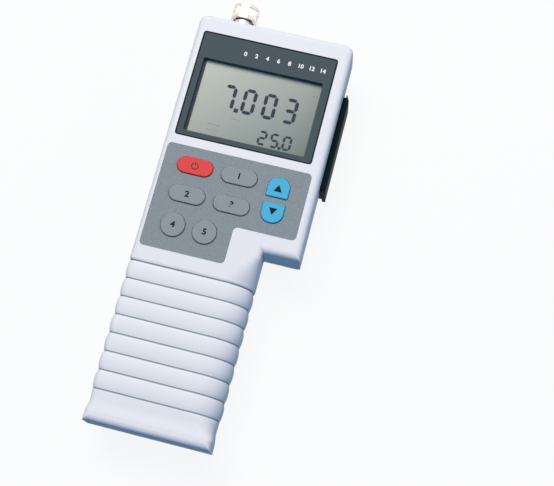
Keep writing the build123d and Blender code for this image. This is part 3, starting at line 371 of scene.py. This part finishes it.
# Painted reflection: the film's colour runs from pale at the upper left to darker towards the lower right
film_painted_reflection = film_tree.nodes.new("ShaderNodeValToRGB")
film_pale, film_dark = film_painted_reflection.color_ramp.elements
film_pale.color = (0.57, 0.62, 0.56, 1)
film_dark.color = (0.205, 0.255, 0.247, 1)
film_tree.links.new(film_place.outputs["Object"], film_axis.inputs["Vector"])
film_tree.links.new(film_axis.outputs["Vector"], film_split.inputs["Vector"])
film_tree.links.new(film_split.outputs["X"], film_sum.inputs[0])
film_tree.links.new(film_split.outputs["Y"], film_sum.inputs[1])
film_tree.links.new(film_sum.outputs[0], film_painted_reflection.inputs["Fac"])
film_tree.links.new(film_painted_reflection.outputs["Color"], film_tree.nodes["Principled BSDF"].inputs["Base Color"])
print("film finish:", len(film_tree.nodes), "nodes")

# %% Glass cell and backing
lcd_glass = grained("lcd_glass", (0.40, 0.46, 0.42), 0.1, 0.4, 0.002)
lcd_backing = grained("lcd_backing", (0.42, 0.47, 0.42), 0.5, 0.3, 0.004)
print("display finishes:", lens_clear.name, lcd_face.name, lcd_glass.name, lcd_backing.name)

# %% [markdown]
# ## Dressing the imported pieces
#
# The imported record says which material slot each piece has. Giving every piece its finish by hand would repeat
# that list, so the finishes are kept by slot, and each piece looks its own up.

# %% One finish for each slot
finish_of_slot = {
    "case_white": case_white, "bezel_slate": bezel_slate, "keypad_grey": keypad_grey, "key_grey": key_grey,
    "key_red": key_red, "key_blue": key_blue, "lens_clear": lens_clear, "lcd_face": lcd_face,
    "lcd_glass": lcd_glass, "lcd_backing": lcd_backing, "black_plastic": black_plastic,
    "grey_rubber": grey_rubber, "board_green": board_green, "steel": steel, "copper": copper,
    "nickel": nickel, "insulator_white": insulator_white, "brass": brass, "cover_black": cover_black,
    "battery_jacket": battery_jacket,
}
for part in frame["record"]["subparts"]:
    nodes[part["node"]].material_slots[0].material = finish_of_slot[part["material_slot"]]

# %% [markdown]
# ## Adding a fine piece
#
# Printed signs and display segments are flat shapes a few hundredths of a millimetre thick. They could be made
# at the origin and moved as objects, but then their places would hang on object transforms. Each is built in its
# place in metres, so that its object stays at the origin, and then rides on the body that carries it.


# %% A piece on a body
def add_piece(name, form, body, finish):
    """Make a finished object from a bmesh, ride it on a body and give it its finish"""
    bmesh.ops.recalc_face_normals(form, faces=form.faces)
    mesh = bpy.data.meshes.new(name)
    form.to_mesh(mesh)
    form.free()
    piece = bpy.data.objects.new(name, mesh)
    bpy.context.scene.collection.objects.link(piece)
    mesh.materials.append(finish)
    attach(piece, body)
    print(name, "rides on", body, "and has", len(mesh.polygons), "faces")


# %% A thickness for flat faces
def raise_flat(form, faces, thickness):
    """Give flat faces a thickness upwards"""
    grown = bmesh.ops.extrude_face_region(form, geom=faces)
    top = [v for v in grown["geom"] if isinstance(v, bmesh.types.BMVert)]
    bmesh.ops.translate(form, verts=top, vec=(0, 0, thickness))


# %% Flat frames
def rounded_loop(form, low, high, radius, z):
    """Points of a rectangle with rounded corners, in metres, from its right side round to the left"""
    corner_steps = 6
    corners = [
        (high[0], high[1], -1, -1),
        (low[0], high[1], 1, -1),
        (low[0], low[1], 1, 1),
        (high[0], low[1], -1, 1),
    ]
    loop = []
    for turn, (x, y, inward_x, inward_y) in enumerate(corners):
        for step in range(corner_steps + 1):
            angle = radians(90) * (turn + step / corner_steps)
            place_x = x + inward_x * radius + radius * cos(angle)
            place_y = y + inward_y * radius + radius * sin(angle)
            loop.append(form.verts.new((place_x, place_y, z)))
    return loop


def flat_frame(form, outer, inner):
    """Faces between two loops that have the same number of points"""
    for index in range(len(outer)):
        following = (index + 1) % len(outer)
        form.faces.new((outer[index], outer[following], inner[following], inner[index]))


# %% Inks, painted shade and printed heights
print_thickness = 0.03 * mm
ink_navy = grained("ink_navy", (0.012, 0.022, 0.045), 0.5, 0.2, 0.002, gloss=0.03)
ink_white = grained("ink_white", (0.80, 0.83, 0.85), 0.4, 0.2, 0.002)
# This slate paints the window's inner border: partly print, partly painted shade of the opening's inner wall
ink_and_shade_slate = grained("ink_and_shade_slate", (0.045, 0.058, 0.066), 0.5, 0.2, 0.002, gloss=0.03)
# This black prints the signs on the keys, and also paints the shade in the gap round the slate panel
ink_and_shade_black = grained("ink_and_shade_black", (0.010, 0.012, 0.016), 0.5, 0.2, 0.002, gloss=0.03)
film_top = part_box("lcd_polarizer")[1].z
panel_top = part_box("display_bezel")[1].z
key_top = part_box("mode_key")[1].z
print("film, panel and key tops, mm:", film_top / mm, panel_top / mm, key_top / mm)

# %% [markdown]
# ## The knurl
#
# The waist of the collar is knurled for the fingers: straight ribs all round, which turn with the collar. A bump
# in the finish would leave the outline smooth, so each rib is a narrow block, part of it sunk in the waist.

# %% Ribs on the collar's waist
collar_low, collar_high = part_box("cap_collar")
axis_x = (collar_low.x + collar_high.x) / 2
axis_z = (collar_low.z + collar_high.z) / 2
waist_middle = 123.5 * mm
waist_place = Matrix.Translation((axis_x, waist_middle, axis_z))
rib_count = 48
rib_size = Matrix.Diagonal((0.42 * mm, 4.2 * mm, 0.4 * mm, 1))
rib_rise = Matrix.Translation((0, 0, 6.92 * mm))
knurl = bmesh.new()
for rib in range(rib_count):
    turn = Matrix.Rotation(2 * pi * rib / rib_count, 4, "Y")
    bmesh.ops.create_cube(knurl, size=1.0, matrix=waist_place @ turn @ rib_rise @ rib_size)
add_piece("collar_knurl", knurl, "collar", nickel)

# %% [markdown]
# ## Dark borders and painted shade
#
# A dark line of painted shade runs round the slate panel, where the gap round it lies in shade, and a dark border
# shows inside the window at its left and foot, partly printed and partly painted shade of the opening's inner
# wall.
# Either could be made in a finish, but its place would then be a set of numbers in a shader. Each is a flat frame
# between two rounded rectangles, which can be seen and moved.

# %% Painted shade line round the slate panel
panel_low, panel_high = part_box("display_bezel")
edge_width = 0.7 * mm
panel_corner = 1.6 * mm
gap_shade_line = bmesh.new()
line_outside = rounded_loop(gap_shade_line, panel_low.xy, panel_high.xy, panel_corner, panel_top)
line_low = (panel_low.x + edge_width, panel_low.y + edge_width)
line_high = (panel_high.x - edge_width, panel_high.y - edge_width)
line_inside = rounded_loop(gap_shade_line, line_low, line_high, panel_corner - edge_width, panel_top)
flat_frame(gap_shade_line, line_outside, line_inside)
raise_flat(gap_shade_line, list(gap_shade_line.faces), print_thickness)
# A flat dark line on the panel's edge: painted shade of the gap round the panel
add_piece("display_edge_line", gap_shade_line, "case", ink_and_shade_black)

# %% Border inside the window, printed and painted shade
film_low, film_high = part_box("lcd_polarizer")
window_border_and_shade = bmesh.new()
border_outside = rounded_loop(window_border_and_shade, film_low.xy, film_high.xy, 0.5 * mm, film_top)
view_low = (-32.5 * mm, 46.2 * mm)
view_high = (film_high.x - 0.2 * mm, film_high.y - 0.4 * mm)
border_inside = rounded_loop(window_border_and_shade, view_low, view_high, 0.4 * mm, film_top)
flat_frame(window_border_and_shade, border_outside, border_inside)
raise_flat(window_border_and_shade, list(window_border_and_shade.faces), print_thickness)
# Partly the window's printed border, partly painted shade of the opening's inner wall at its left and foot
add_piece("display_border_and_shade", window_border_and_shade, "case", ink_and_shade_slate)

# %% [markdown]
# ## The digits
#
# Each digit is made of seven bars with pointed ends. A font could come near them, but a bar has the same shape
# everywhere, so one helper draws it between two points, and a digit is a list of the bars that are dark.


# %% Seven-bar digits
gap_share = 0.12


def display_bar(form, start, end, width):
    """One bar with pointed ends between two points, in metres"""
    along = (end - start).normalized()
    across = Vector((-along.y, along.x, 0)) * width / 2
    tip = along * width / 2
    gap = along * width * gap_share
    corners = [
        start + gap,
        start + gap + tip + across,
        end - gap - tip + across,
        end - gap,
        end - gap - tip - across,
        start + gap + tip - across,
    ]
    form.faces.new([form.verts.new(corner) for corner in corners])


# %% Rows of digits
dark_bars = {
    "0": "abcdef", "1": "bc", "2": "abged", "3": "abgcd", "4": "fgbc", "5": "afgcd", "6": "afgedc",
    "7": "abc", "8": "abcdefg", "9": "abcdfg",
}
point_share = 0.6


def display_number(form, text, centre_x, base_y, height, width, pitch, bar):
    """A row of digits with the first one centred on centre_x, and a point wherever the text has one, in mm"""
    column = 0
    for character in text:
        if character == ".":
            point_x = (centre_x + (column - 0.5) * pitch) * mm
            point_y = (base_y + bar / 2) * mm
            point = bmesh.ops.create_grid(form, x_segments=1, y_segments=1, size=bar * point_share * mm)
            bmesh.ops.translate(form, verts=point["verts"], vec=(point_x, point_y, film_top))
            continue
        x = centre_x + column * pitch
        left = x - width / 2 + bar / 2
        right = x + width / 2 - bar / 2
        low = base_y + bar / 2
        high = base_y + height - bar / 2
        middle = (low + high) / 2
        ends = {
            "a": ((left, high), (right, high)), "b": ((right, middle), (right, high)),
            "c": ((right, low), (right, middle)), "d": ((left, low), (right, low)),
            "e": ((left, low), (left, middle)), "f": ((left, middle), (left, high)),
            "g": ((left, middle), (right, middle)),
        }
        for letter in dark_bars[character]:
            (x0, y0), (x1, y1) = ends[letter]
            start = Vector((x0 * mm, y0 * mm, film_top))
            end = Vector((x1 * mm, y1 * mm, film_top))
            display_bar(form, start, end, bar * mm)
        column += 1


# %% The reading
reading = bmesh.new()
display_number(reading, "7.003", centre_x=-16.0, base_y=61.9, height=14.4, width=7.3, pitch=11.15, bar=1.9)
display_number(reading, "25.0", centre_x=6.95, base_y=47.2, height=8.1, width=4.9, pitch=6.6, bar=1.25)
raise_flat(reading, list(reading.faces), print_thickness)
add_piece("display_digits", reading, "case", ink_navy)

# %% [markdown]
# ## The small marks of the display
#
# Around the digits the display has small words that show what is measured. They could be set as text, but words
# aren't copied here. Rows of three plain bars of their size stand for them, in the paler tone of small segments.

# %% Small marks
lcd_mark = grained("lcd_mark", (0.12, 0.15, 0.16), 0.4, 0.2, 0.002)
mark_rows = [(28.4, 80.2, 3.4), (-9.4, 58.0, 5.2), (-19.7, 52.5, 7.0), (-19.7, 49.5, 7.0)]
mark_height = 0.5
mark_gap = 0.35
marks = bmesh.new()
for mark_x, mark_y, row_width in mark_rows:
    for step in (-1, 0, 1):
        bar_width = row_width / 3 - mark_gap
        bar_x = mark_x + step * row_width / 3
        mark = bmesh.ops.create_grid(marks, x_segments=1, y_segments=1, size=0.5)
        bmesh.ops.scale(marks, verts=mark["verts"], vec=(bar_width * mm, mark_height * mm, 1))
        bmesh.ops.translate(marks, verts=mark["verts"], vec=(bar_x * mm, mark_y * mm, film_top))
raise_flat(marks, list(marks.faces), print_thickness)
add_piece("display_marks", marks, "case", lcd_mark)

# %% [markdown]
# ## Printed numbers
#
# The numbers over the display are printed in white on the slate panel. A text object gives clean digits, and it
# is turned into a mesh before it is moved, so that its place ends up in its points.



# %% A printed number
size_per_height = 1.4


def printed_text(name, text, x, y, z, height, boldness, body, finish):
    """Plain characters centred on a point of a surface, as a thin raised mesh"""
    letters = bpy.data.curves.new(name, "FONT")
    letters.body = text
    letters.size = height * size_per_height * mm
    letters.align_x = "CENTER"
    letters.align_y = "CENTER"
    letters.extrude = print_thickness / 2
    letters.offset = boldness * mm
    writing = bpy.data.objects.new(name, letters)
    mesh = bpy.data.meshes.new_from_object(writing)
    bpy.data.objects.remove(writing)
    mesh.transform(Matrix.Translation((x * mm, y * mm, z + print_thickness / 2)))
    mesh.materials.clear()
    mesh.materials.append(finish)
    piece = bpy.data.objects.new(name, mesh)
    bpy.context.scene.collection.objects.link(piece)
    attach(piece, body)
    print(name, "rides on", body, "and has", len(mesh.polygons), "faces")


# %% The scale over the display
scale_left = -13.0
scale_pitch = 3.0
scale_y = 93.8
for number in range(0, 15, 2):
    number_x = scale_left + number * scale_pitch
    printed_text(f"scale_number_{number}", str(number), number_x, scale_y, panel_top, height=2.3, boldness=0.10,
                 body="case", finish=ink_white)

# %% [markdown]
# ## Signs on the keys
#
# The blue keys have plain triangles, the red key the usual sign for power, and the grey keys plain numbers. They
# could be painted in the keys' finishes, but a thin raised form stays sharp at any distance. Each sign rides on
# its own key, and goes down with it.

# %% Triangles
triangle_radius = 2.5 * mm
triangle_shift = 1.2 * mm
triangle_stretch = 1.04
for key, direction, turn in (("up_key", 1, 0), ("down_key", -1, pi)):
    low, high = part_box(key)
    triangle = bmesh.new()
    bmesh.ops.create_circle(triangle, segments=3, radius=triangle_radius, cap_ends=True)
    bmesh.ops.scale(triangle, verts=triangle.verts, vec=(triangle_stretch, 1, 1))
    bmesh.ops.rotate(triangle, verts=triangle.verts, matrix=Matrix.Rotation(turn, 3, "Z"))
    middle_y = (low.y + high.y) / 2 - direction * triangle_shift
    bmesh.ops.translate(triangle, verts=triangle.verts, vec=((low.x + high.x) / 2, middle_y, key_top))
    raise_flat(triangle, list(triangle.faces), print_thickness)
    add_piece(f"{key}_sign", triangle, key, ink_navy)

# %% Power sign
low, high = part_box("power_key")
power_x = (low.x + high.x) / 2
power_y = (low.y + high.y) / 2
line_width = 0.4 * mm
ring_radius = 1.7 * mm
stroke_length = 1.7 * mm
stroke_middle = 1.2 * mm
ring_start = Matrix.Rotation(radians(120), 3, "Z")
ring_turn = radians(300)
power_sign = bmesh.new()
ring_ends = [power_sign.verts.new((ring_radius + side * line_width / 2, 0, 0)) for side in (-1, 1)]
power_sign.edges.new(ring_ends)
bmesh.ops.rotate(power_sign, verts=power_sign.verts, matrix=ring_start)
ring_section = list(power_sign.verts) + list(power_sign.edges)
bmesh.ops.spin(power_sign, geom=ring_section, cent=(0, 0, 0), axis=(0, 0, 1), angle=ring_turn, steps=30,
               use_merge=False)
stroke = bmesh.ops.create_grid(power_sign, x_segments=1, y_segments=1, size=0.5)
bmesh.ops.scale(power_sign, verts=stroke["verts"], vec=(line_width, stroke_length, 1))
bmesh.ops.translate(power_sign, verts=stroke["verts"], vec=(0, stroke_middle, 0))
bmesh.ops.translate(power_sign, verts=power_sign.verts, vec=(power_x, power_y, key_top))
raise_flat(power_sign, list(power_sign.faces), print_thickness)
add_piece("power_key_sign", power_sign, "power_key", ink_and_shade_black)

# %% Numbers on the grey keys
grey_keys = ["mode_key", "resolution_key", "clear_key", "standard_key", "slope_key"]
for number, key in enumerate(grey_keys, start=1):
    low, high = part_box(key)
    key_x = (low.x + high.x) / 2 / mm
    key_y = (low.y + high.y) / 2 / mm
    printed_text(f"{key}_sign", str(number), key_x, key_y, key_top, height=3.2, boldness=0.16,
                 body=key, finish=ink_and_shade_black)
